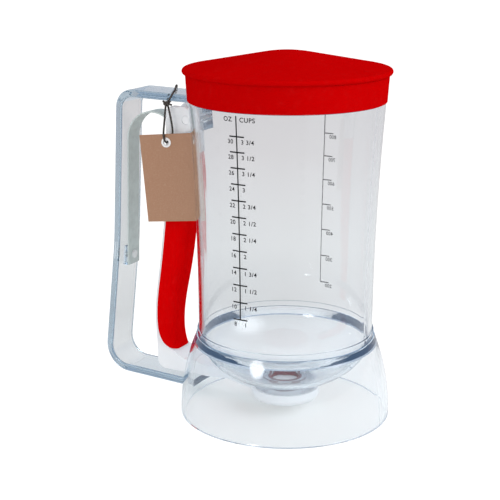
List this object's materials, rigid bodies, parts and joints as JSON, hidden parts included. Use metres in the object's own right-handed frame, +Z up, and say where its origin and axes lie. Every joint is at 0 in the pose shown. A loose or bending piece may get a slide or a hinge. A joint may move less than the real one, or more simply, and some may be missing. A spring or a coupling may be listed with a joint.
{
  "type": "batter dispenser",
  "caption": "Clear measuring jug with a bowl-shaped bottom on a flared base, a strap handle and a squeeze lever that opens the outlet; push-on cone lid and hang tag.",
  "frame": {"origin": "centre of the base's rim, on the surface that the jug stands on", "axes": "+Z up the jug's axis, the handle points to -X, and the side with the ounce and cup scale faces -Y and -X"},
  "size_m": [0.1698, 0.1152, 0.1978],
  "materials": {
    "clear_plastic": "clear moulded, faintly blue",
    "milky_plastic": "translucent white",
    "red_plastic": "satin red",
    "red_rubber": "soft red grip",
    "steel": "thin spring leaf and rivet",
    "kraft_card": "bare brown card",
    "bright_metal": "pressed eyelet",
    "string": "thin twisted string",
    "printed_marks": "dark printing of the scales on the jug's wall"
  },
  "bodies": {
    "jug": {"jug_body": "clear_plastic", "base_skirt": "clear_plastic", "handle_frame": "clear_plastic", "outlet_seal": "red_rubber", "spring_rivet": "steel", "leaf_spring": "steel", "tag_loop": "string", "tag_knot": "string"},
    "lever": {"trigger_lever": "milky_plastic", "trigger_grip": "red_rubber", "hinge_pin": "steel", "drip_cup": "clear_plastic"},
    "lid": {"lid": "red_plastic"},
    "tag": {"tag_card": "kraft_card", "tag_eyelet": "bright_metal", "tag_strands": "string"}
  },
  "joints": [
    {"name": "lever_hinge", "type": "hinge", "parent": "jug", "child": "lever", "pos_m": [-0.057, 0, 0.158], "axis": [0, 1, 0], "range_deg": [0, 7.5], "stiffness_Nm_per_rad": 6, "springref_deg": -1.72, "deforming": ["leaf_spring"]},
    {"name": "lid_lift", "type": "slide", "parent": "jug", "child": "lid", "axis": [0, 0, 1], "range_m": [0, 0.04]},
    {"name": "tag_swing", "type": "hinge", "parent": "jug", "child": "tag", "pos_m": [-0.0658, -0.0138, 0.1669], "axis": [1, 0, 0], "range_deg": [-40, 0.6]}
  ]
}
